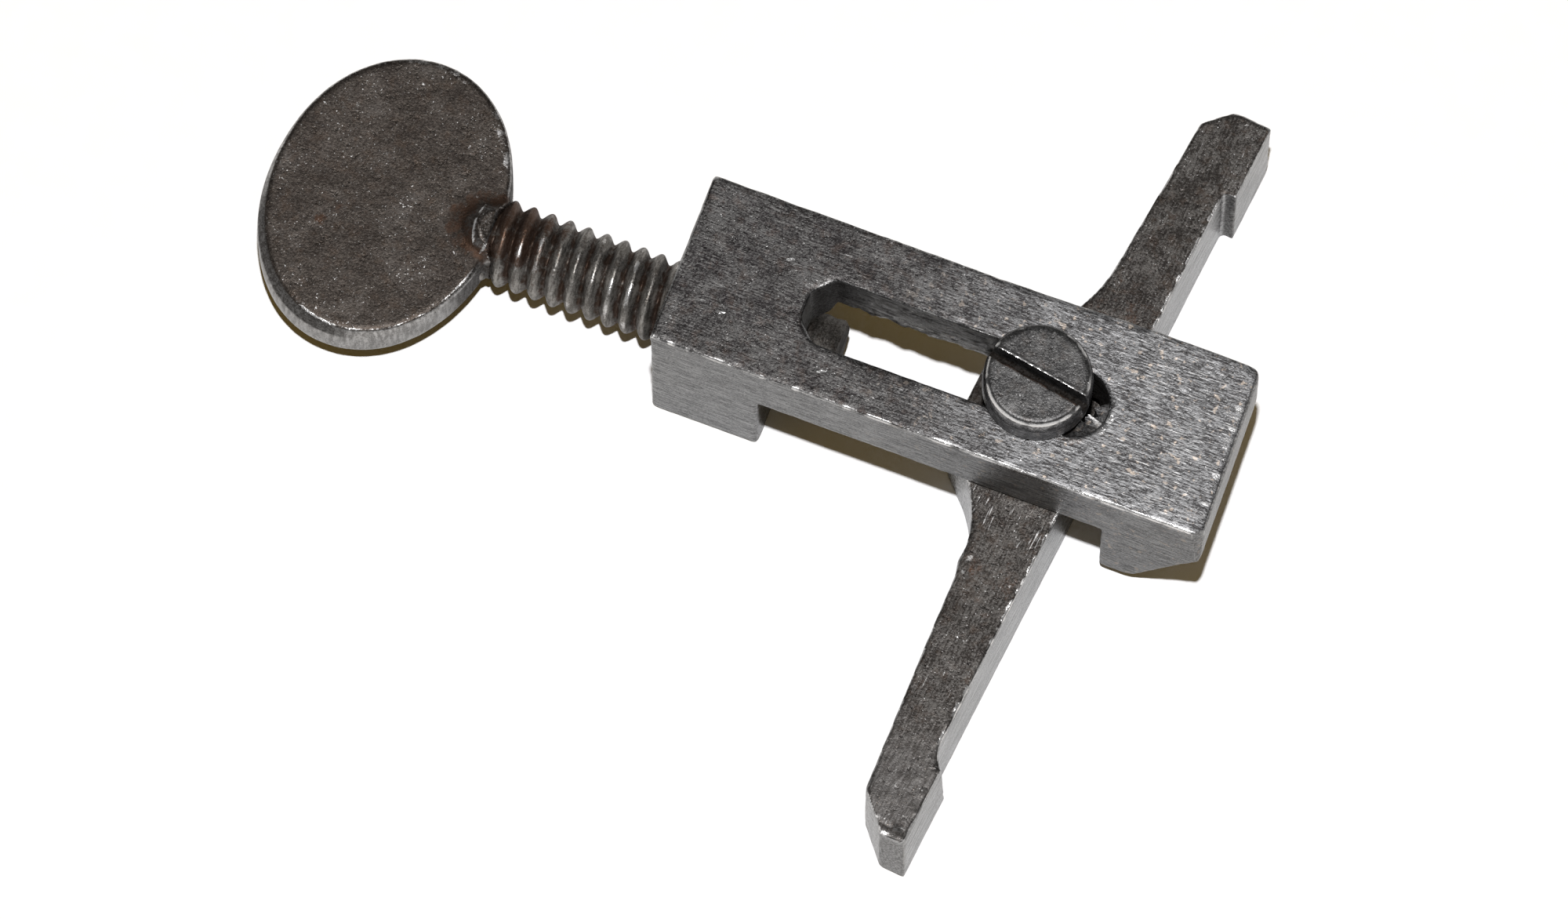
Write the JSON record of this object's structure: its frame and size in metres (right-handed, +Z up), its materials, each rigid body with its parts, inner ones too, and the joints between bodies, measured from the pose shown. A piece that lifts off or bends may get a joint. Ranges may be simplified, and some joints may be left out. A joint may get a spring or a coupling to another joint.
{
  "type": "mainspring vise",
  "caption": "Small hand clamp: a slotted channel frame with a fixed jaw, a swivelling crossbar jaw with lipped tips, and an oval-headed thumbscrew that drives it to bend a leaf spring.",
  "frame": {"origin": "on the bench, under the middle of the tapped block and on the thumbscrew's axis plane", "axes": "+X along the frame and the thumbscrew towards the fixed jaw, +Y to the back, +Z up from the bench"},
  "size_m": [0.0806, 0.0657, 0.0218],
  "materials": {
    "frame_steel": "filed and worn grey steel with a brown patina",
    "crossbar_steel": "dark brown patina on top, bare filed sides",
    "screw_steel": "dark blued steel, worn at the rim",
    "shank_steel": "oiled dark thread with rusty roots",
    "plate_steel": "dark brown patina, polished rim"
  },
  "bodies": {
    "frame": {"frame": "frame_steel"},
    "slide": {"retaining_screw": "screw_steel"},
    "crossbar": {"crossbar": "crossbar_steel"},
    "thumbscrew": {"screw_shank": "shank_steel"},
    "thumb_plate": {"thumb_plate": "plate_steel"}
  },
  "joints": [
    {"name": "crossbar_slide", "type": "slide", "parent": "frame", "child": "slide", "axis": [1, 0, 0], "range_m": [-0.005, 0.0013]},
    {"name": "crossbar_swivel", "type": "hinge", "parent": "slide", "child": "crossbar", "pos_m": [0.02548, 0, 0.0106], "axis": [0, 0, 1], "range_deg": [-3, 12]},
    {"name": "thumbscrew_advance", "type": "slide", "parent": "frame", "child": "thumbscrew", "axis": [1, 0, 0], "range_m": [-0.0106, 0.0053]},
    {"name": "thumbscrew_turn", "type": "hinge", "parent": "thumbscrew", "child": "thumb_plate", "pos_m": [-0.02005, 0, 0.0056], "axis": [1, 0, 0], "range_deg": [-2160, 1080]}
  ],
  "couplings": [
    {"joint": "thumbscrew_advance", "follows": "thumbscrew_turn", "m_per_rad": 0.00024828}
  ]
}
